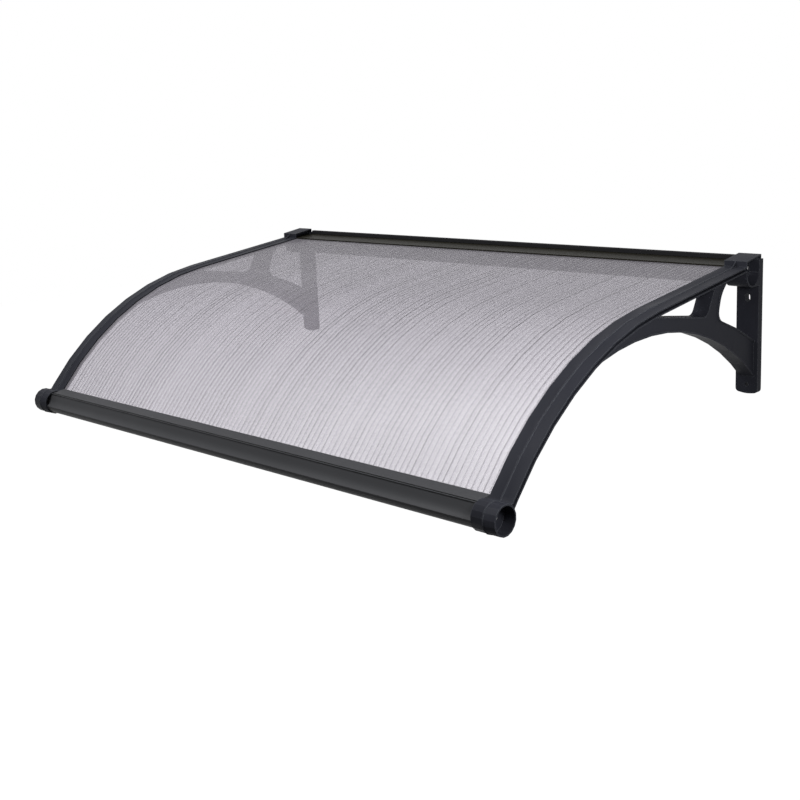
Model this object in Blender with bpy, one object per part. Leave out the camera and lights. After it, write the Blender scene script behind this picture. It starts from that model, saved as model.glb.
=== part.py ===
"""Door canopy: a curved twin-wall sheet held by two moulded brackets, a front bar and a wall bar.

Metres, +Z up. X runs along the wall, +Y points into the wall, and y = 0 is the wall face.
Outlines are drawn in the Y-Z plane and extruded along X.
"""
import math

import bmesh
import bpy
from mathutils import Matrix, Vector

# Driving dimensions of the canopy
WIDTH = 1.200                       # over the outer ends of the two brackets
ROOF_HEIGHT = 0.0068                # roof line above the origin, at the wall face
ROOF_SLOPE = math.radians(6.8)      # fall of the straight rear stretch
STRAIGHT_RUN = 0.3358               # length of that stretch, from the wall face
BEND_RADIUS = 0.549
BEND_ANGLE = math.radians(44.2)
NOSE_RUN = 0.035                    # straight end of the roof line, down to the hub's centre
BEND_FACETS = 7

# Fits
FIT = 0.0003                        # gap between pieces that touch
SLIDE = 0.0004                      # gap round a bar in its socket
THERMAL_GAP = 0.0020                # room for the sheet to grow sideways

# Twin-wall sheet
SHEET_THICK = 0.0040
SKIN = 0.00045
RIB = 0.00050
CELLS = 107                         # channels side by side, about 10.8 mm apart
SHEET_LAP_REAR = 0.0220             # depth of the sheet's rear edge in the wall bar
SHEET_NOSE_GAP = 0.0008             # from the sheet's front edge to the hub

# Bracket rim: two flanges, a web and an open slot on each side
RIM_HALF = 0.0210
FLANGE = 0.0022
WEB = 0.0030
SLOT = SHEET_THICK + 2 * FIT
RIM_DEPTH = 2 * FLANGE + SLOT
BEAD_HALF = 0.0010
BEAD_RISE = 0.0009
OVERLAP = 0.0008                    # how far united bodies run into each other

# Hub that takes the front bar
HUB_HALF = 0.0214
HUB_RADIUS = 0.0232
HUB_BORE = 0.0208
HUB_FACETS = 16
HUB_FILLET = 0.0040                 # round corner between the rim's top and the hub

# Wall foot of the bracket
FOOT_HALF = 0.0208
FOOT_THICK = 0.0140
FOOT_TOP = 0.0080
FOOT_BOTTOM = -0.2320
FOOT_BOW = 0.0030
FOOT_CORNER = 0.0070
FOOT_END_RADIUS = 0.0600
WALL_HOLE_LOW = -0.2150
WALL_HOLE_HIGH = -0.0600
WALL_HOLE_RADIUS = 0.0036
WALL_SLOT_RADIUS = 0.0046
WALL_SLOT_RISE = 0.0050             # height of the upper hole's straight sides

# Socket that takes the wall bar
CAP_HALF = 0.0212
SOCKET_RADIUS = 0.0209
SOCKET_WALL = 0.0022
SOCKET_CENTRE_Z = -0.0145
SOCKET_BACK_GAP = 0.0007            # from the round pocket to the foot's front face
CAP_PLATE = 0.0025
CAP_RISE = 0.0097                   # top of the cap plate over the roof line, at its front edge
CAP_SLOPE = math.radians(8.0)
CAP_REACH = 0.0505
RIDGE_SWEEP = 0.0200                # length of the ridge's rising end before the cap
RIDGE_CURVE = 2.6                   # how late the ridge rises: 1 is a straight ramp

# Struts below the rim
STRUT_HALF = 0.0145
STRUT_LIP = 0.0022
STRUT_RECESS = 0.0018
ARCH_RADIUS = 0.507
ARCH_TOP_Y = -0.351
ARCH_TOP_Z = -0.0713
ARCH_FOOT_SINK = 0.0040             # how far the strut runs into the foot
WINDOW_TIP = (-0.3270, -0.0450)
WINDOW_HEEL = (-0.1780, -0.0675)
WINDOW_HEEL_RADIUS = 0.0150
BRACE_FRONT_TOP_Y = -0.1525
BRACE_REAR_TOP_Y = -0.1080
BRACE_SHOULDER = (-0.1310, -0.0360)
BRACE_SHOULDER_RADIUS = 0.050
BRACE_HEEL = (-0.1420, -0.0770)
BRACE_HEEL_RADIUS = 0.0170
ARCH_BACK_MID = (-0.0760, -0.1030)
ARCH_BACK_MID_RADIUS = 0.250
ARCH_BACK_END_Z = -0.1370

# Front bar: a round tube with a scooped face, a flat deck and a slot for the sheet
BAR_WALL = 0.0020
BAR_RADIUS = HUB_BORE - SLIDE
SCOOP_TOP = math.radians(112.0)
SCOOP_LIP = math.radians(190.0)
SCOOP_DEPTH = 0.0026
SCOOP_STEP = 0.0015                 # how far the face starts behind the deck's front edge
SCOOP_SHIFT = 1.5                   # over 1 puts the deepest place nearer to the lower lip
DECK_REACH = 0.0310                 # from the hub's centre to the deck's rear edge
DECK_EDGE = 0.0009
DECK_FRONT = (-0.0076, 0.0192)
DECK_FRONT_THICK = 0.0011
LOWER_LIP = 0.0016
PORT_BORE = 0.0019
PORT_WALL = 0.0020
REAR_HOLLOW_TURN = math.radians(100.0)
FRONT_HOLLOW = (
    (-0.0145, -0.0050), (-0.0120, -0.0125), (-0.0060, -0.0160), (-0.0060, 0.0145), (-0.0075, 0.0105))

# Wall bar
WALL_BAR_WALL = 0.0020
WALL_DECK_RISE = 0.0044             # deck height over the origin at the wall face
WALL_CHAMBER_BOTTOM = -0.0260
PORT_LOW = (-0.0356, -0.0300)
PORT_HIGH = (-0.0220, -0.0070)

# Wall seal
SEAL_DEPTH = 0.0075
SEAL_TOP = 0.0123
SEAL_NOSE = 0.0012

# Screws that hold the bars to the brackets
SCREW_RADIUS = PORT_BORE - FIT
SCREW_LENGTH = 0.0240
SCREW_HEAD_RADIUS = 0.0037
SCREW_HEAD_HEIGHT = 0.0024
SCREW_TIP_SHARE = 0.5               # radius at the tip against the shank
SCREW_CROWN_SHARE = 0.6             # radius of the head's flat crown against the head
SCREW_POINT = 0.0018

# Facets of the round outlines
FILLET_STEPS = 5
SCOOP_STEPS = 8
RIDGE_STEPS = 6
CAP_STEPS = 8
ARCH_STEPS = 12
SMALL_SIDES = 12                    # screws, their holes and ports
HOLE_SIDES = 16                     # wall holes
POCKET_STEPS = 16
HOLLOW_STEPS = 18
BAR_STEPS = 26
BORE_SIDES = 32

# Derived places
BRACKET_X = WIDTH / 2 - HUB_HALF
FOOT_FACE_Y = -FOOT_THICK
SOCKET_CENTRE_Y = FOOT_FACE_Y - SOCKET_BACK_GAP - SOCKET_RADIUS
SOCKET_FRONT_Y = SOCKET_CENTRE_Y - SOCKET_RADIUS
BEND_LENGTH = BEND_RADIUS * BEND_ANGLE
NOSE_START = STRAIGHT_RUN + BEND_LENGTH
HUB_PLACE = NOSE_START + NOSE_RUN
NOSE_ANGLE = ROOF_SLOPE + BEND_ANGLE


def clear_scene():
    for thing in list(bpy.data.objects):
        bpy.data.objects.remove(thing, do_unlink=True)


def roof(place, drop=0.0):
    """Point of the roof line at a distance from the wall face, moved down square to the line."""
    if place <= STRAIGHT_RUN:
        angle, run = ROOF_SLOPE, place
        base = (0.0, ROOF_HEIGHT)
    elif place <= NOSE_START:
        angle = ROOF_SLOPE + (place - STRAIGHT_RUN) / BEND_RADIUS
        start = roof(STRAIGHT_RUN, BEND_RADIUS)
        reach = BEND_RADIUS - drop
        return (start[0] - reach * math.sin(angle), start[1] + reach * math.cos(angle))
    else:
        angle, run = NOSE_ANGLE, place - NOSE_START
        start = roof(NOSE_START)
        base = start
    along = (-math.cos(angle), -math.sin(angle))
    down = (math.sin(angle), -math.cos(angle))
    return (base[0] + along[0] * run + down[0] * drop, base[1] + along[1] * run + down[1] * drop)


def roof_place(y):
    """Distance along the straight stretch at which the roof line has this y."""
    return -y / math.cos(ROOF_SLOPE)


def roof_run(start, end, drop):
    """Points of the roof line between two places, with the bend's facets always at the same places."""
    steps = [STRAIGHT_RUN + BEND_LENGTH * i / BEND_FACETS for i in range(BEND_FACETS + 1)]
    places = [start] + [place for place in steps if start < place < end] + [end]
    return [roof(place, drop) for place in places]


def band(start, end, drop_top, drop_low):
    return roof_run(start, end, drop_top) + roof_run(start, end, drop_low)[::-1]


def arc(centre, radius, start, end, steps):
    """Points from one angle to another, measured from +Y towards +Z."""
    turns = [start + (end - start) * i / steps for i in range(steps + 1)]
    return [(centre[0] + radius * math.cos(a), centre[1] + radius * math.sin(a)) for a in turns]


def filleted(corners, steps=5):
    """Open line through corners (y, z, radius), each corner with a radius rounded by a tangent arc."""
    line = []
    for i, (y, z, radius) in enumerate(corners):
        here = Vector((y, z))
        if radius == 0.0 or i in (0, len(corners) - 1):
            line.append((y, z))
            continue
        back = (Vector(corners[i - 1][:2]) - here).normalized()
        ahead = (Vector(corners[i + 1][:2]) - here).normalized()
        half = back.angle(ahead) / 2
        centre = here + (back + ahead).normalized() * (radius / math.sin(half))
        first = here + back * (radius / math.tan(half)) - centre
        last = here + ahead * (radius / math.tan(half)) - centre
        sweep = first.angle_signed(last)
        for step in range(steps + 1):
            spoke = Matrix.Rotation(-sweep * step / steps, 2) @ first
            line.append((centre.x + spoke.x, centre.y + spoke.y))
    return line


def set_right(line, distance):
    """Open line moved to the right of its own direction."""
    moved = []
    for i, point in enumerate(line):
        before = Vector(line[max(i - 1, 0)])
        after = Vector(line[min(i + 1, len(line) - 1)])
        along = (after - before).normalized()
        moved.append((point[0] + along.y * distance, point[1] - along.x * distance))
    return moved


def finished(name, shape):
    """Turn a closed shape outwards and put it in the scene."""
    mesh = bpy.data.meshes.new(name)
    bmesh.ops.recalc_face_normals(shape, faces=shape.faces)
    shape.to_mesh(mesh)
    shape.free()
    body = bpy.data.objects.new(name, mesh)
    bpy.context.scene.collection.objects.link(body)
    return body


def prism(name, outline, x_start, x_end):
    """Closed body: an outline in the Y-Z plane, extruded along X."""
    shape = bmesh.new()
    ring = [shape.verts.new((x_start, y, z)) for y, z in outline]
    face = shape.faces.new(ring)
    grown = bmesh.ops.extrude_face_region(shape, geom=[face])
    moved = [item for item in grown["geom"] if isinstance(item, bmesh.types.BMVert)]
    bmesh.ops.translate(shape, verts=moved, vec=(x_end - x_start, 0.0, 0.0))
    return finished(name, shape)


def combine(body, tool, operation):
    """Unite or cut two bodies for good, and remove the second."""
    step = body.modifiers.new("combine", "BOOLEAN")
    step.operation = operation
    step.solver = "EXACT"
    step.object = tool
    graph = bpy.context.evaluated_depsgraph_get()
    mesh = bpy.data.meshes.new_from_object(body.evaluated_get(graph))
    body.modifiers.clear()
    old = body.data
    body.data = mesh
    mesh.name = body.name
    bpy.data.meshes.remove(old)
    bpy.data.objects.remove(tool, do_unlink=True)


def unite(body, *tools):
    for tool in tools:
        combine(body, tool, "UNION")


def cut(body, *tools):
    for tool in tools:
        combine(body, tool, "DIFFERENCE")


def paint(body, name, colour, roughness, metallic=0.0, alpha=1.0):
    material = bpy.data.materials.get(name) or bpy.data.materials.new(name)
    material.use_nodes = True
    shader = material.node_tree.nodes["Principled BSDF"]
    shader.inputs["Base Color"].default_value = (*colour, 1.0)
    shader.inputs["Roughness"].default_value = roughness
    shader.inputs["Metallic"].default_value = metallic
    shader.inputs["Alpha"].default_value = alpha
    body.data.materials.clear()
    body.data.materials.append(material)


def paint_plastic(body):
    paint(body, "black_bracket_plastic", (0.035, 0.036, 0.040), 0.42)


def paint_aluminium(body):
    paint(body, "bronze_grey_aluminium", (0.060, 0.058, 0.054), 0.38, metallic=0.6)


def paint_sheet(body):
    paint(body, "smoke_polycarbonate", (0.58, 0.57, 0.62), 0.22, alpha=0.75)


def paint_rubber(body):
    paint(body, "black_seal_rubber", (0.012, 0.012, 0.012), 0.75)


def paint_steel(body):
    paint(body, "zinc_screw_steel", (0.55, 0.55, 0.56), 0.35, metallic=1.0)


def arch_meets_rim(radius, drop):
    """Distance along the roof line at which an arch line runs out into the rim."""
    centre = Vector((ARCH_TOP_Y, ARCH_TOP_Z - ARCH_RADIUS))
    low, high = STRAIGHT_RUN, HUB_PLACE
    for _ in range(40):
        middle = (low + high) / 2
        if (Vector(roof(middle, drop)) - centre).length > radius:
            low = middle
        else:
            high = middle
    return low


def strut_outline(lip=0.0, sink=ARCH_FOOT_SINK):
    """Arch and brace in one outline. With a lip it lies that far inside, and runs past the rim."""
    drop = RIM_DEPTH - OVERLAP - lip
    radius = ARCH_RADIUS + lip
    merge = arch_meets_rim(radius, drop)
    window = filleted([
        (*WINDOW_TIP, 0.0),
        (*WINDOW_HEEL, WINDOW_HEEL_RADIUS),
        (*roof(roof_place(BRACE_FRONT_TOP_Y), drop), 0.0)])
    rear = filleted([
        (*roof(roof_place(BRACE_REAR_TOP_Y), drop), 0.0),
        (*BRACE_SHOULDER, BRACE_SHOULDER_RADIUS),
        (*BRACE_HEEL, BRACE_HEEL_RADIUS),
        (*ARCH_BACK_MID, ARCH_BACK_MID_RADIUS),
        (FOOT_FACE_Y + sink, ARCH_BACK_END_Z, 0.0)])
    centre = (ARCH_TOP_Y, ARCH_TOP_Z - ARCH_RADIUS)
    start = math.acos((FOOT_FACE_Y + sink - centre[0]) / radius)
    tail = roof(merge, drop)
    end = math.atan2(tail[1] - centre[1], tail[0] - centre[0])
    underside = arc(centre, radius, start, end, ARCH_STEPS)[:-1]
    top = roof_run(roof_place(WINDOW_TIP[0]), merge, drop)[::-1]
    return top + set_right(window, lip) + set_right(rear, lip) + underside


def make_strut(name):
    """Strut body whose side faces lie a little back from a raised lip round the edge."""
    body = prism(name, strut_outline(), -STRUT_HALF, STRUT_HALF)
    for side in (-1, 1):
        floor = side * (STRUT_HALF - STRUT_RECESS)
        recess = strut_outline(STRUT_LIP, ARCH_FOOT_SINK / 2)
        cut(body, prism("recess", recess, floor, side * 2 * STRUT_HALF))
    return body


def make_foot(name):
    """Flat wall foot with round lower corners and a slightly bowed lower end."""
    low = FOOT_BOTTOM + FOOT_BOW
    corners = [
        (FOOT_HALF, FOOT_TOP, 0.0), (-FOOT_HALF, FOOT_TOP, 0.0),
        (-FOOT_HALF, low, FOOT_CORNER), (0.0, FOOT_BOTTOM, FOOT_END_RADIUS),
        (FOOT_HALF, low, FOOT_CORNER), (FOOT_HALF, FOOT_TOP, 0.0)]
    outline = filleted(corners)[:-1]
    body = prism(name, outline, FOOT_FACE_Y, 0.0)
    swap_axes(body)
    return body


def swap_axes(body):
    """Turn a body drawn along X so that its outline lies in the X-Z plane and its length along Y."""
    for vert in body.data.vertices:
        x, y, z = vert.co
        vert.co = (y, x, z)
    shape = bmesh.new()
    shape.from_mesh(body.data)
    bmesh.ops.recalc_face_normals(shape, faces=shape.faces)
    shape.to_mesh(body.data)
    shape.free()


def cap_top(y, drop=0.0):
    """Top line of the cap plate."""
    front = SOCKET_FRONT_Y - SOCKET_WALL
    start = roof(roof_place(front))[1] + CAP_RISE
    return (y, start + (y - front) * math.tan(CAP_SLOPE) - drop / math.cos(CAP_SLOPE))


def make_cap(name):
    """Socket for the wall bar: a plate on top, a front wall and a round floor, open on both sides."""
    front = SOCKET_FRONT_Y - SOCKET_WALL
    rear = front + CAP_REACH
    centre = (SOCKET_CENTRE_Y, SOCKET_CENTRE_Z)
    in_foot = FOOT_FACE_Y + ARCH_FOOT_SINK
    shell = [cap_top(front), cap_top(rear), (rear, FOOT_TOP - OVERLAP), (in_foot, FOOT_TOP - OVERLAP)]
    shell += [(in_foot, SOCKET_CENTRE_Z - SOCKET_RADIUS - SOCKET_WALL)]
    shell += arc(centre, SOCKET_RADIUS + SOCKET_WALL, -math.pi / 2, -math.pi, CAP_STEPS)
    body = prism(name, shell, -CAP_HALF, CAP_HALF)
    beyond = in_foot + 2 * OVERLAP
    pocket = [cap_top(SOCKET_FRONT_Y, CAP_PLATE), cap_top(beyond, CAP_PLATE), (beyond, SOCKET_CENTRE_Z)]
    pocket += arc(centre, SOCKET_RADIUS, 0.0, -math.pi, POCKET_STEPS)
    for side in (-1, 1):
        cut(body, prism("pocket", pocket, side * WEB / 2, side * 2 * CAP_HALF))
    return body


def ridge_outline():
    """Bead on the rim that sweeps up the front of the cap."""
    front = SOCKET_FRONT_Y - SOCKET_WALL
    foot = roof(roof_place(front))
    top = cap_top(front)
    rise = top[1] - foot[1]
    sweep = [(front + OVERLAP, top[1] - OVERLAP), (front, top[1] - OVERLAP)]
    for i in range(1, RIDGE_STEPS + 1):
        t = i / RIDGE_STEPS
        y = front - RIDGE_SWEEP * t
        sweep.append((y, roof(roof_place(y))[1] + BEAD_RISE + (rise - BEAD_RISE) * (1 - t) ** RIDGE_CURVE))
    crest = roof_run(roof_place(front - RIDGE_SWEEP), HUB_PLACE - HUB_RADIUS + OVERLAP, -BEAD_RISE)[1:]
    below = roof_run(roof_place(front + OVERLAP), HUB_PLACE - HUB_RADIUS + OVERLAP, OVERLAP)[::-1]
    return sweep + crest + below


def nose_point(up, out):
    """Point near the hub: distance back up the roof line, and height square to it."""
    return roof(HUB_PLACE - up, -out)


def hub_fillet_outline():
    """Concave corner piece that lets the rim's top run up into the hub."""
    back = math.sqrt((HUB_RADIUS + HUB_FILLET) ** 2 - HUB_FILLET ** 2)
    turn = math.atan2(HUB_FILLET, back)
    sunk = HUB_RADIUS - 2 * OVERLAP
    outline = [nose_point(back, -OVERLAP)]
    for up, out in arc((back, HUB_FILLET), HUB_FILLET, -math.pi / 2, turn - math.pi, FILLET_STEPS):
        outline.append(nose_point(up, out))
    return outline + [nose_point(sunk * math.cos(turn), sunk * math.sin(turn)), nose_point(sunk, -OVERLAP)]


def round_bar(name, radius, centre, x_start, x_end, sides):
    return prism(name, arc(centre, radius, 0.0, 2 * math.pi, sides)[:-1], x_start, x_end)


def make_bracket(name, x):
    """One-piece moulded bracket, symmetric about its own middle plane."""
    rear = roof_place(SOCKET_FRONT_Y - SOCKET_WALL + OVERLAP)
    hub = roof(HUB_PLACE)
    nose = HUB_PLACE - HUB_BORE + OVERLAP
    facet = math.pi / HUB_FACETS
    hub_ring = arc(hub, HUB_RADIUS, facet, facet + 2 * math.pi, HUB_FACETS)[:-1]
    body = prism(name, hub_ring, -HUB_HALF, HUB_HALF)
    ring = arc(hub, HUB_RADIUS + BEAD_RISE, facet, facet + 2 * math.pi, HUB_FACETS)[:-1]
    flange_low = RIM_DEPTH - FLANGE
    unite(
        body,
        prism("top_flange", band(rear, nose, 0.0, FLANGE), -RIM_HALF, RIM_HALF),
        prism("low_flange", band(rear, nose, flange_low, RIM_DEPTH), -RIM_HALF, RIM_HALF),
        prism("rim_web", band(rear, nose, OVERLAP, RIM_DEPTH - OVERLAP), -WEB / 2, WEB / 2),
        make_cap("cap"),
        make_foot("foot"),
        make_strut("strut"),
        prism("ridge", ridge_outline(), -BEAD_HALF, BEAD_HALF),
        prism("ring", ring, -BEAD_HALF, BEAD_HALF),
        prism("hub_fillet", hub_fillet_outline(), -RIM_HALF, RIM_HALF))
    slot_rear = roof_place(SOCKET_FRONT_Y + SOCKET_WALL)
    slot_front = roof_place(SOCKET_FRONT_Y - 2 * SOCKET_WALL)
    slot = band(slot_rear, slot_front, FLANGE, FLANGE + SLOT)
    for side in (-1, 1):
        cut(
            body,
            round_bar("bore", HUB_BORE, hub, side * WEB / 2, side * 2 * HUB_HALF, BORE_SIDES),
            prism("slot", slot, side * WEB / 2, side * 2 * HUB_HALF))
    cut_wall_holes(body)
    for centre in (hub, PORT_LOW, PORT_HIGH):
        cut(body, round_bar("screw_hole", PORT_BORE, centre, -2 * WEB, 2 * WEB, SMALL_SIDES))
    body.location.x = x
    paint_plastic(body)
    return body


def cut_wall_holes(body):
    """Lower round hole and upper upright slot through the wall foot."""
    low = arc((0.0, WALL_HOLE_LOW), WALL_HOLE_RADIUS, 0.0, 2 * math.pi, HOLE_SIDES)[:-1]
    high = []
    for end, turn in ((WALL_SLOT_RISE / 2, 0.0), (-WALL_SLOT_RISE / 2, math.pi)):
        centre = (0.0, WALL_HOLE_HIGH + end)
        high += arc(centre, WALL_SLOT_RADIUS, turn, turn + math.pi, HOLE_SIDES // 2)
    for outline in (low, high):
        tool = prism("wall_hole", outline, -2 * FOOT_THICK, FOOT_THICK)
        swap_axes(tool)
        cut(body, tool)


def make_sheet():
    """Twin-wall sheet, bent once: skins and upright ribs in one, with channels open at both ends."""
    half = BRACKET_X - WEB / 2 - THERMAL_GAP
    rear = roof_place(SOCKET_FRONT_Y + SHEET_LAP_REAR)
    front = HUB_PLACE - HUB_RADIUS - SHEET_NOSE_GAP
    top = FLANGE + FIT
    pitch = (2 * half - RIB) / CELLS
    walls = [(-half, half, top, top + SHEET_THICK)]
    for i in range(CELLS):
        start = -half + RIB + i * pitch
        walls.append((start, start + pitch - RIB, top + SKIN, top + SHEET_THICK - SKIN))
    shape = bmesh.new()
    ends = ([], [])
    for x_low, x_high, drop_top, drop_low in walls:
        rings = []
        for high, low in zip(roof_run(rear, front, drop_top), roof_run(rear, front, drop_low)):
            corners = [(x_low, *high), (x_high, *high), (x_high, *low), (x_low, *low)]
            rings.append([shape.verts.new(corner) for corner in corners])
        for before, after in zip(rings, rings[1:]):
            for i in range(4):
                j = (i + 1) % 4
                shape.faces.new((before[i], before[j], after[j], after[i]))
        for ring, end in ((rings[0], ends[0]), (rings[-1], ends[1])):
            end.extend(shape.edges.get((ring[i], ring[(i + 1) % 4])) for i in range(4))
    for end in ends:
        bmesh.ops.triangle_fill(shape, edges=end, use_beauty=False)
    body = finished("canopy_sheet", shape)
    paint_sheet(body)
    return body


def make_front_bar():
    """Extruded bar: a scooped round tube in the hubs, with deck and slot lips between the brackets."""
    hub = roof(HUB_PLACE)
    half = BRACKET_X - WEB / 2 - FIT
    lip_half = BRACKET_X - HUB_HALF - FIT
    tube = arc(hub, BAR_RADIUS, SCOOP_LIP, SCOOP_TOP + 2 * math.pi, BAR_STEPS)
    first, last = Vector(tube[-1]), Vector(tube[0])
    inward = (Vector(hub) - (first + last) / 2).normalized()
    for i in range(SCOOP_STEPS):
        t = i / SCOOP_STEPS
        depth = SCOOP_STEP * (1 - t) + SCOOP_DEPTH * math.sin(math.pi * t ** SCOOP_SHIFT)
        point = first.lerp(last, t) + inward * depth
        tube.append((point.x, point.y))
    body = prism("front_bar", tube, -half, half)
    tip = -FLANGE + DECK_EDGE
    stop = HUB_RADIUS
    lips = [
        nose_point(DECK_REACH, tip),
        (hub[0] + DECK_FRONT[0], hub[1] + DECK_FRONT[1]),
        (hub[0] + DECK_FRONT[0], hub[1] + DECK_FRONT[1] - DECK_FRONT_THICK),
        (hub[0] + DECK_FRONT[0] + 2 * BAR_WALL, hub[1] + BAR_RADIUS - 2 * BAR_WALL),
        nose_point(BAR_RADIUS - 2 * BAR_WALL, -RIM_DEPTH + FLANGE - FIT - LOWER_LIP),
        nose_point(DECK_REACH, -FLANGE - SLOT - LOWER_LIP),
        nose_point(DECK_REACH, -FLANGE - SLOT),
        nose_point(stop, -FLANGE - SLOT),
        nose_point(stop, -FLANGE),
        nose_point(DECK_REACH, -FLANGE)]
    unite(body, prism("lips", lips, -lip_half, lip_half))
    inner = BAR_RADIUS - BAR_WALL
    rear_hollow = arc(hub, inner, -REAR_HOLLOW_TURN, REAR_HOLLOW_TURN, HOLLOW_STEPS)
    front_hollow = [(hub[0] + y, hub[1] + z) for y, z in FRONT_HOLLOW]
    port = PORT_BORE + PORT_WALL
    for outline in (rear_hollow, front_hollow):
        cut(body, prism("hollow", outline, -2 * half, 2 * half))
    unite(body, round_bar("port", port, (hub[0], hub[1]), -half, half, SMALL_SIDES))
    cut(body, round_bar("port_bore", PORT_BORE, hub, -2 * half, 2 * half, SMALL_SIDES))
    paint_aluminium(body)
    return body


def wall_deck(y):
    """Top of the wall bar: it falls from the wall to the height of the roof line at its front."""
    front = SOCKET_FRONT_Y + SLIDE
    start = roof(roof_place(front))[1]
    share = (y - front) / -front
    return (y, start + (WALL_DECK_RISE - start) * share)


def make_wall_bar():
    """Extruded bar: a round-bottomed tube in the sockets and a flat chamber against the wall."""
    half = BRACKET_X - WEB / 2 - FIT
    chamber_half = BRACKET_X - CAP_HALF - FIT
    front = SOCKET_FRONT_Y + SLIDE
    centre = (SOCKET_CENTRE_Y, SOCKET_CENTRE_Z)
    radius = SOCKET_RADIUS - SLIDE
    back = SOCKET_CENTRE_Y + radius
    tube = [wall_deck(front), wall_deck(back)] + arc(centre, radius, 0.0, -math.pi, POCKET_STEPS)
    body = prism("wall_bar", tube, -half, half)
    chamber_front = back - 2 * WALL_BAR_WALL
    chamber = [wall_deck(chamber_front), wall_deck(0.0), (0.0, WALL_CHAMBER_BOTTOM),
               (chamber_front, WALL_CHAMBER_BOTTOM)]
    unite(body, prism("chamber", chamber, -chamber_half, chamber_half))
    inner = radius - WALL_BAR_WALL
    slot_end = roof_place(SOCKET_FRONT_Y + SHEET_LAP_REAR + FIT)
    slot_mouth = roof_place(front - SOCKET_WALL)
    ceiling = roof(slot_end, FLANGE + SLOT + WALL_BAR_WALL)[1]
    hollow = [(front + WALL_BAR_WALL, ceiling - WALL_BAR_WALL), (back - WALL_BAR_WALL, ceiling)]
    hollow += arc(centre, inner, 0.0, -math.pi, POCKET_STEPS)
    wall = WALL_BAR_WALL
    rear_hollow = [
        (back, wall_deck(back)[1] - wall), (-wall, wall_deck(-wall)[1] - wall),
        (-wall, WALL_CHAMBER_BOTTOM + wall), (back, WALL_CHAMBER_BOTTOM + wall)]
    cut(
        body,
        prism("slot", band(slot_end, slot_mouth, FLANGE, FLANGE + SLOT), -2 * half, 2 * half),
        prism("hollow", hollow, -2 * half, 2 * half),
        prism("rear_hollow", rear_hollow, -2 * half, 2 * half))
    for place in (PORT_LOW, PORT_HIGH):
        unite(body, round_bar("port", PORT_BORE + PORT_WALL, place, -half, half, SMALL_SIDES))
        cut(body, round_bar("port_bore", PORT_BORE, place, -2 * half, 2 * half, SMALL_SIDES))
    paint_aluminium(body)
    return body


def make_seal():
    """Rubber strip that stands on the wall bar and closes the gap to the wall."""
    half = BRACKET_X - CAP_HALF - FIT
    foot = -SEAL_DEPTH
    outline = [
        (0.0, wall_deck(0.0)[1] + FIT), (0.0, SEAL_TOP), (foot + SEAL_NOSE, SEAL_TOP),
        (foot, SEAL_TOP - SEAL_NOSE), (foot, wall_deck(foot)[1] + FIT)]
    body = prism("wall_seal", outline, -half, half)
    paint_rubber(body)
    return body


def make_screw(name, place, side):
    """Pan-head screw through the bracket's web into a port of the bar."""
    head_face = WEB / 2 + FIT
    head = head_face + SCREW_HEAD_HEIGHT
    crown = head + SCREW_HEAD_HEIGHT / 4
    shape = bmesh.new()
    turns = [2 * math.pi * i / SMALL_SIDES for i in range(SMALL_SIDES)]
    tip = head_face - SCREW_LENGTH
    profile = [
        (tip, SCREW_RADIUS * SCREW_TIP_SHARE), (tip + SCREW_POINT, SCREW_RADIUS),
        (head_face, SCREW_RADIUS), (head_face, SCREW_HEAD_RADIUS),
        (head, SCREW_HEAD_RADIUS), (crown, SCREW_HEAD_RADIUS * SCREW_CROWN_SHARE)]
    rings = []
    for x, radius in profile:
        spots = [(place[0] + radius * math.cos(a), place[1] + radius * math.sin(a)) for a in turns]
        rings.append([shape.verts.new((side * x, y, z)) for y, z in spots])
    for low, high in zip(rings, rings[1:]):
        for i in range(SMALL_SIDES):
            j = (i + 1) % SMALL_SIDES
            shape.faces.new((low[i], low[j], high[j], high[i]))
    shape.faces.new(rings[0])
    shape.faces.new(rings[-1])
    body = finished(name, shape)
    body.location.x = side * BRACKET_X
    paint_steel(body)
    return body


def build():
    clear_scene()
    make_sheet()
    make_front_bar()
    make_wall_bar()
    make_seal()
    for side, word in ((-1, "left"), (1, "right")):
        make_bracket("bracket_" + word, side * BRACKET_X)
        make_screw("front_screw_" + word, roof(HUB_PLACE), side)
        make_screw("wall_bar_screw_low_" + word, PORT_LOW, side)
        make_screw("wall_bar_screw_high_" + word, PORT_HIGH, side)


build()
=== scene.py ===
"""Looks of a wall-fixed door canopy: clear ribbed sheet, two black brackets, two coated bars."""
import math
from functools import partial

import bmesh
import bpy
from mathutils import Matrix, Vector


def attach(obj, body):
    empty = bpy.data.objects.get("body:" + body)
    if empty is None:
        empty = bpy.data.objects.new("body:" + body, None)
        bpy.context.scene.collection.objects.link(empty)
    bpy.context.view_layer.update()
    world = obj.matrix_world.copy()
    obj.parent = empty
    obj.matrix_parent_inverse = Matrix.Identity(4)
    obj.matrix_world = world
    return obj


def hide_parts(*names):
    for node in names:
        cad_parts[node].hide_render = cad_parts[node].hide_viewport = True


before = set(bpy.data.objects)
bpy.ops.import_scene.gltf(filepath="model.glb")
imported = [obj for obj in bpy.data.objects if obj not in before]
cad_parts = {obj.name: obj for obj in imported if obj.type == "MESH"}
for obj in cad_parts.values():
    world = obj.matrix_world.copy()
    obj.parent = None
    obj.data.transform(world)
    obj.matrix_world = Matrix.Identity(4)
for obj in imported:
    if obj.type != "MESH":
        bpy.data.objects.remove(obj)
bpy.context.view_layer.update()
for leftover in [thing for thing in bpy.data.objects if thing.type in ("CAMERA", "LIGHT")]:
    bpy.data.objects.remove(leftover)


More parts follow.
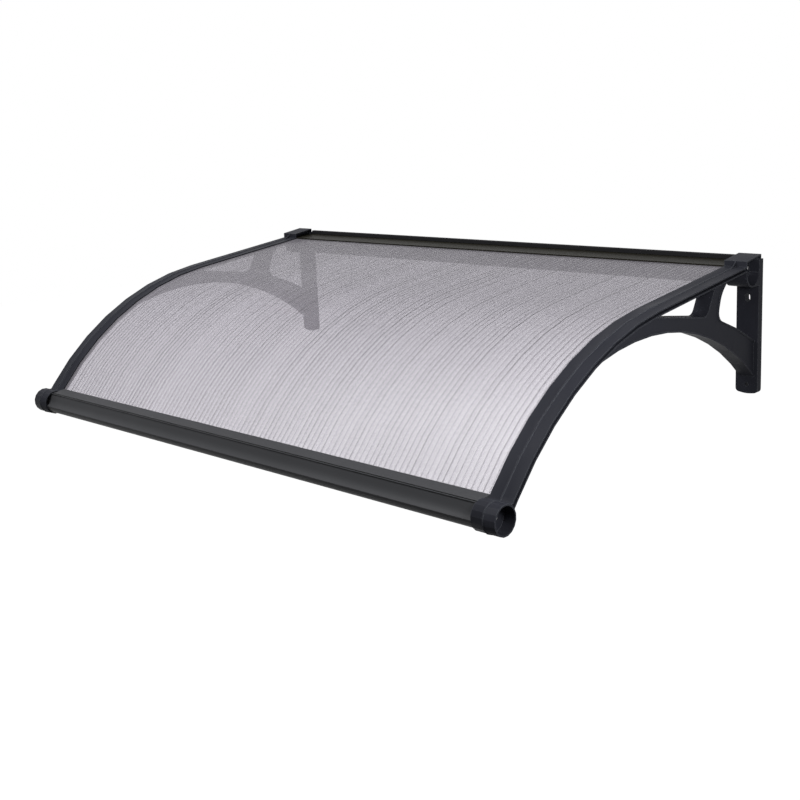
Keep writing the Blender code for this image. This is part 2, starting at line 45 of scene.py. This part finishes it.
# The two brackets, left and right the same: one black nylon moulding, screwed to the wall by its foot.
# Its rim grips the sheet's edge, its hub holds the front bar and its socket the wall bar. The mould
# leaves a fine grain, small round edges and faint flow clouds; every edge carries a paler painted
# highlight.
BRACKET_EDGE_RADIUS = 0.0005
BRACKET_BLACK = (0.018, 0.019, 0.025, 1.0)
BRACKET_WORN = (0.029, 0.030, 0.038, 1.0)
BRACKET_CLOUD_PER_M = 18.0
BRACKET_GRAIN_PER_M = 1300.0
BRACKET_GRAIN_DEPTH = 0.0001
BRACKET_ROUGHNESS = (0.42, 0.55)
BRACKET_IOR = 1.5
BRACKET_SHINE = 0.03
# painted highlight: a paler tone, its width and cover, laid over every edge in place of gloss on the edges
EDGE_HIGHLIGHT_TONE = (0.100, 0.105, 0.120, 1.0)
EDGE_HIGHLIGHT_WIDTH = 0.0012
EDGE_HIGHLIGHT_COVER = 0.8
EDGE_HIGHLIGHT_STARTS = 0.985                  # cosine of the turn away from the face, at an edge
EDGE_HIGHLIGHT_FULL = 0.86
NOISE_SPAN = (0.3, 0.7)             # where most values of a noise pattern lie
SMOOTH_UNDER = math.radians(20.0)
FLAT_UNDER = math.radians(0.6)
WELD_WITHIN = 0.00001
EDGE_SEGMENTS = 2


def add(tree, kind, inputs=None, **settings):
    """New node with its settings; each input is a value or the output that feeds it."""
    made = tree.nodes.new(kind)
    for name, value in settings.items():
        setattr(made, name, value)
    for socket, value in (inputs or {}).items():
        if isinstance(value, bpy.types.NodeSocket):
            tree.links.new(value, made.inputs[socket])
        else:
            made.inputs[socket].default_value = value
    return made


def new_finish(name):
    """Empty node material and its tree."""
    finish = bpy.data.materials.new(name)
    finish.use_nodes = True
    finish.node_tree.nodes.clear()
    return finish, finish.node_tree


def noise(tree, place, per_metre, detail, roughness=0.5):
    """Soft random pattern over a place in metres."""
    return add(tree, "ShaderNodeTexNoise", {
        "Vector": place, "Scale": per_metre, "Detail": detail, "Roughness": roughness}).outputs["Fac"]


def ranged(tree, value, low, high, to_low, to_high):
    """Value carried from one range over to another, and held inside it."""
    return add(tree, "ShaderNodeMapRange", {
        "Value": value, "From Min": low, "From Max": high,
        "To Min": to_low, "To Max": to_high}).outputs["Result"]


def blend(tree, share, one, other):
    """Colour that goes from one to the other as the share rises."""
    return add(tree, "ShaderNodeMix", {"Factor": share, "A": one, "B": other},
               data_type="RGBA").outputs["Result"]


def bumped(tree, height, strength, depth):
    """Normal of a surface with fine relief."""
    return add(tree, "ShaderNodeBump", {
        "Strength": strength, "Distance": depth, "Height": height}).outputs["Normal"]


def solid_copy(name, node, edge_radius):
    """Copy of a CAD solid with its triangles joined, its curves smooth and its edges rounded."""
    shape = bmesh.new()
    shape.from_mesh(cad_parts[node].data)
    bmesh.ops.remove_doubles(shape, verts=shape.verts, dist=WELD_WITHIN)
    bmesh.ops.dissolve_limit(shape, angle_limit=FLAT_UNDER, verts=shape.verts, edges=shape.edges)
    mesh = bpy.data.meshes.new(name)
    shape.to_mesh(mesh)
    shape.free()
    mesh.shade_smooth()
    mesh.set_sharp_from_angle(angle=SMOOTH_UNDER)
    piece = bpy.data.objects.new(name, mesh)
    bpy.context.scene.collection.objects.link(piece)
    rounding = piece.modifiers.new("rounded_edges", "BEVEL")
    rounding.width = edge_radius
    rounding.segments = EDGE_SEGMENTS
    rounding.limit_method = "ANGLE"
    rounding.angle_limit = SMOOTH_UNDER
    rounding.harden_normals = True
    return piece


def moulded_nylon():
    """Nylon as the mould leaves it, with a paler painted highlight where the surface turns round an edge.
    """
    finish, tree = new_finish("moulded_nylon")
    place = add(tree, "ShaderNodeTexCoord").outputs["Object"]
    cloud = noise(tree, place, BRACKET_CLOUD_PER_M, detail=4.0, roughness=0.55)
    grain = noise(tree, place, BRACKET_GRAIN_PER_M, detail=2.0, roughness=0.6)
    rounded = add(tree, "ShaderNodeBevel", {"Radius": EDGE_HIGHLIGHT_WIDTH}, samples=6)
    flatness = add(tree, "ShaderNodeVectorMath", {
        0: rounded.outputs["Normal"], 1: add(tree, "ShaderNodeNewGeometry").outputs["True Normal"]},
        operation="DOT_PRODUCT").outputs["Value"]
    # painted highlight: paler where the surface turns round an edge
    painted_edge_highlight = ranged(tree, flatness, EDGE_HIGHLIGHT_STARTS, EDGE_HIGHLIGHT_FULL, 0.0, EDGE_HIGHLIGHT_COVER)
    tone = blend(tree, cloud, BRACKET_BLACK, BRACKET_WORN)
    surface = add(tree, "ShaderNodeBsdfPrincipled", {
        "Base Color": blend(tree, painted_edge_highlight, tone, EDGE_HIGHLIGHT_TONE),
        "Roughness": ranged(tree, cloud, *NOISE_SPAN, *BRACKET_ROUGHNESS),
        "Normal": bumped(tree, grain, strength=0.25, depth=BRACKET_GRAIN_DEPTH),
        "IOR": BRACKET_IOR, "Specular IOR Level": BRACKET_SHINE})
    add(tree, "ShaderNodeOutputMaterial", {"Surface": surface.outputs["BSDF"]})
    return finish


nylon = moulded_nylon()
for side in ("left", "right"):
    bracket = solid_copy("moulded_bracket_" + side, "bracket_" + side, BRACKET_EDGE_RADIUS)
    bracket.data.materials.append(nylon)
    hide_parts("bracket_" + side)
    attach(bracket, "root")


# The front bar and the wall bar: aluminium extrusions with a dark coat, held at their ends by screws in
# the brackets. The die leaves fine straight lines along them. The wall bar's coat is a little warmer, and
# its colour is made darker as painted shade, standing in for the shade under the sheet by the wall.
BAR_EDGE_RADIUS = 0.0003
FRONT_COAT = (0.056, 0.057, 0.061, 1.0)
# painted shade: the wall bar's coat is darker than the front bar's for the shade by the wall
WALL_COAT_WITH_PAINTED_SHADE = (0.013, 0.012, 0.009, 1.0)
COAT_CHANGE = 0.12                  # share by which the tone rises and falls along a bar
COAT_CLOUD_PER_M = 9.0
COAT_ROUGHNESS = (0.38, 0.50)
COAT_IOR = 1.5
COAT_SHINE = 0.04
DIE_LINES_PER_M = 1500.0
DIE_LINE_STRETCH = 0.004
DIE_LINE_DEPTH = 0.00006


def shaded(colour, share):
    """The same colour, paler or darker."""
    return [part * share for part in colour[:3]] + [1.0]


def coated_extrusion(name, coat):
    """Thin even coat over aluminium that shows the die's lines."""
    finish, tree = new_finish(name)
    place = add(tree, "ShaderNodeTexCoord").outputs["Object"]
    drawn = add(tree, "ShaderNodeMapping", {"Vector": place, "Scale": (DIE_LINE_STRETCH, 1.0, 1.0)})
    lines = noise(tree, drawn.outputs["Vector"], DIE_LINES_PER_M, detail=3.0, roughness=0.6)
    cloud = noise(tree, place, COAT_CLOUD_PER_M, detail=3.0)
    surface = add(tree, "ShaderNodeBsdfPrincipled", {
        "Base Color": blend(tree, cloud, shaded(coat, 1 - COAT_CHANGE), shaded(coat, 1 + COAT_CHANGE)),
        "Roughness": ranged(tree, lines, *NOISE_SPAN, *COAT_ROUGHNESS),
        "Normal": bumped(tree, lines, strength=0.15, depth=DIE_LINE_DEPTH),
        "IOR": COAT_IOR, "Specular IOR Level": COAT_SHINE})
    add(tree, "ShaderNodeOutputMaterial", {"Surface": surface.outputs["BSDF"]})
    return finish


for node, coat in (("front_bar", FRONT_COAT), ("wall_bar", WALL_COAT_WITH_PAINTED_SHADE)):
    bar = solid_copy("coated_" + node, node, BAR_EDGE_RADIUS)
    bar.data.materials.append(coated_extrusion("dark_coat_" + node, coat))
    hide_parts(node)
    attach(bar, "root")


# The twin-wall sheet. Two thin clear skins are joined by upright ribs that run from the wall to the
# front, all extruded in one. It is straight at the wall and bent once, and it carries a faint lilac
# tint, with a few ribs paler or darker than the rest.
SHEET_WIDTH = 1.1502
SHEET_THICK = 0.0040
SKIN = 0.00045
RIB = 0.00050
RIB_PITCH = 0.010745
SHEET_DEPTH_UNDER_ROOF = 0.0045     # from the brackets' top line to the middle of the sheet
ROOF_HEIGHT = 0.0068                # that line at the wall
ROOF_SLOPE = math.radians(6.8)
STRAIGHT_RUN = 0.3358
BEND_RADIUS = 0.549
BEND_ANGLE = math.radians(44.2)
BEND_FACETS = 7                     # the same as in the solid, so that the sheet stays in its slots
SHEET_REAR = 0.0347                 # both along the roof line, from the wall
SHEET_FRONT = 0.7702
STREAKS_PER_M = 60.0
MILK_DARK = (0.53, 0.505, 0.56, 1.0)
MILK_PALE = (0.61, 0.585, 0.64, 1.0)
MILK_CLOUD_PER_M = 3.0
HAZE = (0.155, 0.185)               # how much of the view a skin covers
SLANT_HAZE = 0.05                   # and how much more where it is seen at a slant
SLANT_SPAN = (0.35, 0.85)           # from nearly square on to nearly edge on
CLEAR_SQUARE = (0.985, 0.980, 0.990, 1.0)
CLEAR_SLANTED = (0.74, 0.735, 0.745, 1.0)
JOINT_HALF = 0.0016                 # half of the dark line where a rib joins the skin
JOINT_TONE = (0.06, 0.058, 0.065, 1.0)
JOINT_STRENGTH = (0.4, 1.0)         # from the faintest rib to the strongest
JOINT_COVER = (0.17, 0.80)          # seen square on and at a slant
JOINT_SLANT_SPAN = (0.4, 0.8)
RIB_COVER = 0.03
SHEET_ROUGHNESS = 0.28
SHEET_IOR = 1.585
SHEET_SHINE = 0.14


def figure(tree, operation, *values):
    """Result of one sum in a tree."""
    return add(tree, "ShaderNodeMath", dict(enumerate(values)), operation=operation).outputs[0]


def spot_at(tree, **places):
    """Point or size from its X, Y and Z."""
    return add(tree, "ShaderNodeCombineXYZ", places).outputs[0]


def bent_place(tree, along, over, across):
    """Point of the bent roof from the distance along it, the height over it and the place across."""
    calc = partial(figure, tree)
    bent = calc("MAXIMUM", calc("SUBTRACT", along, STRAIGHT_RUN), 0.0)
    turned = calc("MINIMUM", calc("DIVIDE", bent, BEND_RADIUS), BEND_ANGLE)
    angle = calc("ADD", turned, ROOF_SLOPE)
    beyond = calc("MAXIMUM", calc("SUBTRACT", bent, BEND_RADIUS * BEND_ANGLE), 0.0)
    flat = calc("MINIMUM", along, STRAIGHT_RUN)
    sine, cosine = calc("SINE", angle), calc("COSINE", angle)
    reach = calc("MULTIPLY", flat, math.cos(ROOF_SLOPE))
    reach = calc("ADD", reach, calc("MULTIPLY", calc("SUBTRACT", sine, math.sin(ROOF_SLOPE)), BEND_RADIUS))
    reach = calc("ADD", reach, calc("MULTIPLY", beyond, cosine))
    reach = calc("ADD", reach, calc("MULTIPLY", over, sine))
    fall = calc("MULTIPLY", flat, math.sin(ROOF_SLOPE))
    fall = calc("ADD", fall, calc("MULTIPLY", calc("SUBTRACT", math.cos(ROOF_SLOPE), cosine), BEND_RADIUS))
    fall = calc("ADD", fall, calc("MULTIPLY", beyond, sine))
    fall = calc("SUBTRACT", fall, calc("MULTIPLY", over, cosine))
    height = calc("SUBTRACT", ROOF_HEIGHT, fall)
    return spot_at(tree, X=across, Y=calc("MULTIPLY", reach, -1.0), Z=height)


def sheet_tree(finish):
    """Geometry Nodes: two skins and a row of ribs, laid flat with one unit of Y to each crossing
    line, then stretched and bent along the roof line."""
    tree = bpy.data.node_groups.new("twin_wall_sheet", "GeometryNodeTree")
    face = tree.interface
    for name, value in (("Width", SHEET_WIDTH), ("Thickness", SHEET_THICK), ("Skin", SKIN),
                        ("Rib", RIB), ("Pitch", RIB_PITCH), ("Rear", SHEET_REAR), ("Front", SHEET_FRONT),
                        ("Depth", SHEET_DEPTH_UNDER_ROOF)):
        face.new_socket(name, in_out="INPUT", socket_type="NodeSocketFloat").default_value = value
    face.new_socket("Sheet", in_out="OUTPUT", socket_type="NodeSocketGeometry")
    size = add(tree, "NodeGroupInput").outputs
    calc = partial(figure, tree)
    whole = add(tree, "GeometryNodeJoinGeometry")

    crossings = BEND_FACETS + 3     # at each of the bend's corners, and at the sheet's two ends
    tall = calc("SUBTRACT", size["Thickness"], size["Skin"])
    plate = add(tree, "GeometryNodeMeshCube", {
        "Size": spot_at(tree, X=size["Width"], Y=crossings - 1.0, Z=size["Skin"]),
        "Vertices Y": crossings})
    for sign, shows_joints in ((0.5, 1.0), (-0.5, 0.0)):
        middle = spot_at(tree, Z=calc("MULTIPLY", tall, sign))
        skin = add(tree, "GeometryNodeTransform", {
            "Geometry": plate.outputs["Mesh"], "Translation": middle})
        marked = add(tree, "GeometryNodeStoreNamedAttribute", {
            "Geometry": skin.outputs[0], "Name": "shows_joints", "Value": shows_joints},
            data_type="FLOAT", domain="POINT")
        tree.links.new(marked.outputs["Geometry"], whole.inputs[0])

    count = calc("ADD", calc("ROUND", calc("DIVIDE", size["Width"], size["Pitch"])), 1.0)
    first = calc("MULTIPLY", calc("MULTIPLY", calc("SUBTRACT", count, 1.0), size["Pitch"]), -0.5)
    row = add(tree, "GeometryNodeMeshLine", {
        "Count": add(tree, "FunctionNodeFloatToInt", {0: count}).outputs[0],
        "Start Location": spot_at(tree, X=first), "Offset": spot_at(tree, X=size["Pitch"])})
    rib = add(tree, "GeometryNodeMeshCube", {
        "Size": spot_at(tree, X=size["Rib"], Y=crossings - 1.0, Z=tall), "Vertices Y": crossings})
    ribs = add(tree, "GeometryNodeInstanceOnPoints", {
        "Points": row.outputs["Mesh"], "Instance": rib.outputs["Mesh"]})
    marked = add(tree, "GeometryNodeStoreNamedAttribute", {
        "Geometry": ribs.outputs["Instances"], "Name": "on_rib", "Value": 1.0},
        data_type="FLOAT", domain="INSTANCE")
    tree.links.new(marked.outputs["Geometry"], whole.inputs[0])
    real = add(tree, "GeometryNodeRealizeInstances", {"Geometry": whole.outputs[0]})

    spot = add(tree, "ShaderNodeSeparateXYZ", {0: add(tree, "GeometryNodeInputPosition").outputs[0]})
    crossing = calc("ROUND", calc("SUBTRACT", (crossings - 1.0) / 2, spot.outputs["Y"]))
    facet = BEND_RADIUS * BEND_ANGLE / BEND_FACETS
    corner = calc("MULTIPLY_ADD", calc("SUBTRACT", crossing, 1.0), facet, STRAIGHT_RUN)
    along = calc("MINIMUM", corner, size["Front"])
    at_rear = calc("LESS_THAN", crossing, 0.5)
    along = calc("MULTIPLY_ADD", at_rear, calc("SUBTRACT", size["Rear"], along), along)
    over = calc("SUBTRACT", spot.outputs["Z"], size["Depth"])
    bent = add(tree, "GeometryNodeSetPosition", {
        "Geometry": real.outputs[0], "Position": bent_place(tree, along, over, spot.outputs["X"])})
    dressed = add(tree, "GeometryNodeSetMaterial", {"Geometry": bent.outputs[0], "Material": finish})
    add(tree, "NodeGroupOutput", {"Sheet": dressed.outputs[0]})
    return tree


def clear_polycarbonate():
    """Thin clear skin: a milky veil over a tinted view, darker in a line where each rib joins it."""
    finish, tree = new_finish("clear_polycarbonate")
    calc = partial(figure, tree)
    place = add(tree, "ShaderNodeTexCoord").outputs["Object"]
    across = add(tree, "ShaderNodeSeparateXYZ", {0: place}).outputs["X"]
    streaks = add(tree, "ShaderNodeTexNoise", {
        "W": across, "Scale": STREAKS_PER_M, "Detail": 5.0, "Roughness": 0.65}, noise_dimensions="1D")
    on_rib, on_top = (
        add(tree, "ShaderNodeAttribute", attribute_name=mark, attribute_type="GEOMETRY").outputs["Fac"]
        for mark in ("on_rib", "shows_joints"))
    slant = add(tree, "ShaderNodeLayerWeight", {"Blend": 0.5}).outputs["Facing"]

    rib = calc("FLOOR", calc("DIVIDE", across, RIB_PITCH))
    off_rib = calc("ABSOLUTE", calc("SUBTRACT", across, calc("MULTIPLY", calc("ADD", rib, 0.5), RIB_PITCH)))
    luck = add(tree, "ShaderNodeTexWhiteNoise", {"W": rib}, noise_dimensions="1D").outputs["Value"]
    strength = ranged(tree, luck, 0.0, 1.0, *JOINT_STRENGTH)
    line = calc("MULTIPLY", ranged(tree, off_rib, JOINT_HALF / 2, JOINT_HALF, strength, 0.0), on_top)

    haze = ranged(tree, streaks.outputs["Fac"], *NOISE_SPAN, *HAZE)
    slanted = ranged(tree, slant, *SLANT_SPAN, 0.0, SLANT_HAZE)
    joint = calc("MULTIPLY", line, ranged(tree, slant, *JOINT_SLANT_SPAN, *JOINT_COVER))
    skin_cover = calc("ADD", calc("ADD", haze, slanted), joint)
    cover = calc("ADD", calc("MULTIPLY", skin_cover, calc("SUBTRACT", 1.0, on_rib)),
                 calc("MULTIPLY", on_rib, RIB_COVER))

    milk = blend(tree, noise(tree, place, MILK_CLOUD_PER_M, detail=2.0), MILK_DARK, MILK_PALE)
    tint = blend(tree, ranged(tree, slant, *SLANT_SPAN, 0.0, 1.0), CLEAR_SQUARE, CLEAR_SLANTED)
    clear = add(tree, "ShaderNodeBsdfTransparent", {"Color": tint})
    body = add(tree, "ShaderNodeBsdfPrincipled", {
        "Base Color": blend(tree, line, milk, JOINT_TONE), "Roughness": SHEET_ROUGHNESS,
        "IOR": SHEET_IOR, "Specular IOR Level": SHEET_SHINE})
    mix = add(tree, "ShaderNodeMixShader", {0: cover, 1: clear.outputs[0], 2: body.outputs["BSDF"]})
    add(tree, "ShaderNodeOutputMaterial", {"Surface": mix.outputs[0]})
    return finish


def grown(name, tree):
    """Plain mesh object from a Geometry Nodes tree."""
    seedling = bpy.data.objects.new(name, bpy.data.meshes.new(name))
    bpy.context.scene.collection.objects.link(seedling)
    seedling.modifiers.new("growth", "NODES").node_group = tree
    depsgraph = bpy.context.evaluated_depsgraph_get()
    mesh = bpy.data.meshes.new_from_object(seedling.evaluated_get(depsgraph))
    seedling.modifiers.clear()
    seedling.data = mesh
    mesh.name = name
    mesh.shade_smooth()
    mesh.set_sharp_from_angle(angle=SMOOTH_UNDER)
    return seedling


sheet = grown("twin_wall_sheet", sheet_tree(clear_polycarbonate()))
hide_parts("canopy_sheet")
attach(sheet, "root")


# The wall seal: a soft black rubber strip pressed on the back of the wall bar, dull, with a fine
# drawn surface.
SEAL_EDGE_RADIUS = 0.0004
SEAL_BLACK = (0.006, 0.006, 0.007, 1.0)
SEAL_SKIN_PER_M = 900.0
SEAL_SKIN_STRETCH = 0.05
SEAL_SKIN_DEPTH = 0.0001
SEAL_ROUGHNESS = (0.7, 0.9)
SEAL_SHINE = 0.2


def dull_rubber():
    """Rubber drawn through a die, without any gloss."""
    finish, tree = new_finish("dull_rubber")
    place = add(tree, "ShaderNodeTexCoord").outputs["Object"]
    drawn = add(tree, "ShaderNodeMapping", {"Vector": place, "Scale": (SEAL_SKIN_STRETCH, 1.0, 1.0)})
    skin = noise(tree, drawn.outputs["Vector"], SEAL_SKIN_PER_M, detail=3.0)
    surface = add(tree, "ShaderNodeBsdfPrincipled", {
        "Base Color": SEAL_BLACK, "Roughness": ranged(tree, skin, *NOISE_SPAN, *SEAL_ROUGHNESS),
        "Normal": bumped(tree, skin, strength=0.3, depth=SEAL_SKIN_DEPTH),
        "Specular IOR Level": SEAL_SHINE})
    add(tree, "ShaderNodeOutputMaterial", {"Surface": surface.outputs["BSDF"]})
    return finish


seal = solid_copy("rubber_wall_seal", "wall_seal", SEAL_EDGE_RADIUS)
seal.data.materials.append(dull_rubber())
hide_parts("wall_seal")
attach(seal, "root")


# The six screws that hold the bars' ends in the brackets: steel with pan heads, plated with bright
# zinc over fine turning marks.
ZINC = (0.42, 0.42, 0.43, 1.0)
ZINC_MARKS_PER_M = 2600.0
ZINC_ROUGHNESS = (0.25, 0.42)


def zinc_plate():
    """Bright plated steel."""
    finish, tree = new_finish("zinc_plate")
    place = add(tree, "ShaderNodeTexCoord").outputs["Object"]
    marks = noise(tree, place, ZINC_MARKS_PER_M, detail=2.0)
    surface = add(tree, "ShaderNodeBsdfPrincipled", {
        "Base Color": ZINC, "Metallic": 1.0,
        "Roughness": ranged(tree, marks, *NOISE_SPAN, *ZINC_ROUGHNESS)})
    add(tree, "ShaderNodeOutputMaterial", {"Surface": surface.outputs["BSDF"]})
    return finish


zinc = zinc_plate()
for node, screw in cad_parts.items():
    if "screw" in node:
        screw.data.materials.clear()
        screw.data.materials.append(zinc)


# The studio: a pale floor far below, as under a real door canopy, white surroundings, one large lamp
# above the sheet and a small one beside the right-hand bracket, and the camera in front of that end.
FLOOR_Z = -2.2
FLOOR_HALF = 14.0
FLOOR_GREY = (0.3, 0.3, 0.3, 1.0)
FLOOR_ROUGHNESS = 0.9
FLOOR_GLOW = 0.98
WHITE = (1.0, 1.0, 1.0, 1.0)
SURROUND_LIGHT = 0.14               # what the white surroundings give, though they look fully white
KEY_LAMP = {"place": (-0.5, -1.35, 1.75), "aim": (0.0, -0.6, -0.1), "size": 1.0, "power": 43.0}
SIDE_LAMP = {"place": (1.1, -0.7, 0.16), "aim": (0.6, -0.4, -0.08), "size": 0.3, "power": 4.2}
CAMERA_PLACE = (1.5531, -1.8743, 0.2852)
CAMERA_TURN = 0.765
CAMERA_PITCH = 0.207
CAMERA_ROLL = -0.0433
FOCAL_PX = 1175.0
IMAGE_PX = 800.0
CENTRE_PX = (413.511, 356.0768)
SENSOR_MM = 36.0


def where_seen(tree):
    """1 where the studio is looked at, straight or in a gloss, and 0 where it only gives light."""
    ray = add(tree, "ShaderNodeLightPath").outputs
    looked_at = figure(tree, "MAXIMUM", ray["Is Camera Ray"], ray["Is Glossy Ray"])
    return figure(tree, "MAXIMUM", looked_at, ray["Is Transmission Ray"])


def pale_floor():
    """Matt grey floor that looks white."""
    finish, tree = new_finish("pale_floor")
    glow = figure(tree, "MULTIPLY", where_seen(tree), FLOOR_GLOW)
    paint = add(tree, "ShaderNodeBsdfPrincipled", {
        "Base Color": FLOOR_GREY, "Roughness": FLOOR_ROUGHNESS, "Specular IOR Level": 0.0,
        "Emission Color": WHITE, "Emission Strength": glow})
    add(tree, "ShaderNodeOutputMaterial", {"Surface": paint.outputs["BSDF"]})
    return finish


def studio_lamp(name, place, aim, size, power):
    """Round lamp turned to the spot that it lights, and not seen itself."""
    lamp = bpy.data.lights.new(name, "AREA")
    lamp.shape = "DISK"
    lamp.size = size
    lamp.energy = power
    holder = bpy.data.objects.new(name, lamp)
    holder.location = place
    holder.visible_camera = False
    holder.rotation_euler = (Vector(aim) - Vector(place)).to_track_quat("-Z", "Y").to_euler()
    bpy.context.scene.collection.objects.link(holder)


ground = bpy.data.meshes.new("studio_floor")
ground.from_pydata(
    [(x * FLOOR_HALF, y * FLOOR_HALF, FLOOR_Z) for x, y in ((-1, -1), (1, -1), (1, 1), (-1, 1))],
    [], [(0, 1, 2, 3)])
ground.materials.append(pale_floor())
floor = bpy.data.objects.new("studio_floor", ground)
bpy.context.scene.collection.objects.link(floor)

world = bpy.data.worlds.new("white_studio")
bpy.context.scene.world = world
world.use_nodes = True
sky = world.node_tree
sky.nodes.clear()
brightness = ranged(sky, where_seen(sky), 0.0, 1.0, SURROUND_LIGHT, 1.0)
white = add(sky, "ShaderNodeBackground", {"Color": WHITE, "Strength": brightness})
add(sky, "ShaderNodeOutputWorld", {"Surface": white.outputs[0]})

studio_lamp("key_lamp", **KEY_LAMP)
studio_lamp("side_lamp", **SIDE_LAMP)

lens = bpy.data.cameras.new("photo_camera")
lens.sensor_width = SENSOR_MM
lens.lens = FOCAL_PX * SENSOR_MM / IMAGE_PX
lens.shift_x = (IMAGE_PX / 2 - CENTRE_PX[0]) / IMAGE_PX
lens.shift_y = (CENTRE_PX[1] - IMAGE_PX / 2) / IMAGE_PX
camera = bpy.data.objects.new("photo_camera", lens)
camera.matrix_world = (
    Matrix.Translation(CAMERA_PLACE) @ Matrix.Rotation(CAMERA_TURN, 4, "Z")
    @ Matrix.Rotation(math.pi / 2 - CAMERA_PITCH, 4, "X") @ Matrix.Rotation(CAMERA_ROLL, 4, "Z"))
bpy.context.scene.collection.objects.link(camera)
bpy.context.scene.camera = camera
bpy.context.scene.view_settings.view_transform = "Standard"
